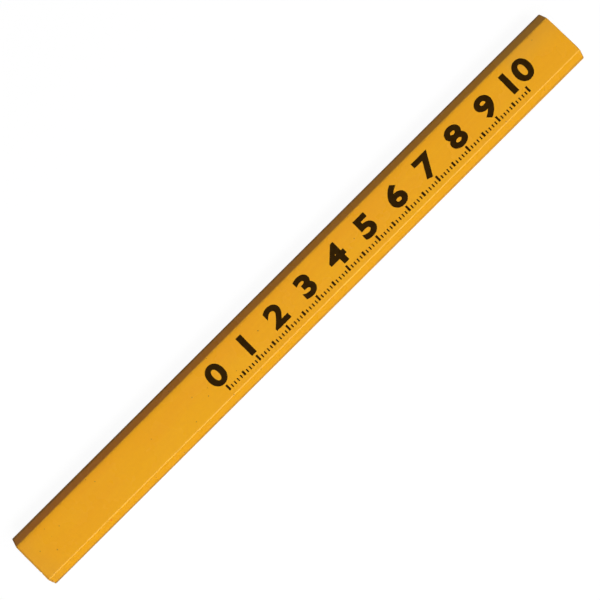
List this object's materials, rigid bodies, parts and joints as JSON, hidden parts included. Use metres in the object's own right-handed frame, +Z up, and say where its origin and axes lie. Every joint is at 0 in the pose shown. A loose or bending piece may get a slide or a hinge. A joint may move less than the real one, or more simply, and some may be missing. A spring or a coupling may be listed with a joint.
{
  "type": "carpenter pencil",
  "caption": "Flat unsharpened carpenter pencil: a wooden case of glued, grooved slats with chamfered long edges and yellow lacquer, round a flat graphite core, for marking timber.",
  "frame": {"origin": "middle of the broad face that the pencil rests on", "axes": "+X along the pencil, the way its printed scale reads; +Y across it; +Z up, from the broad face that it rests on to the printed broad face"},
  "size_m": [0.1778, 0.015, 0.007],
  "materials": {
    "lacquer": "gloss",
    "filler": "matte",
    "casing_wood": "matte",
    "graphite": "satin",
    "glue": "satin",
    "ink": "matte"
  },
  "bodies": {
    "root": {"colour_lacquer": "lacquer", "filler_coat": "filler", "upper_slat": "casing_wood", "lower_slat": "casing_wood", "graphite_core": "graphite", "core_bond": "glue", "glue_strip_left": "glue", "glue_strip_right": "glue"}
  },
  "joints": []
}
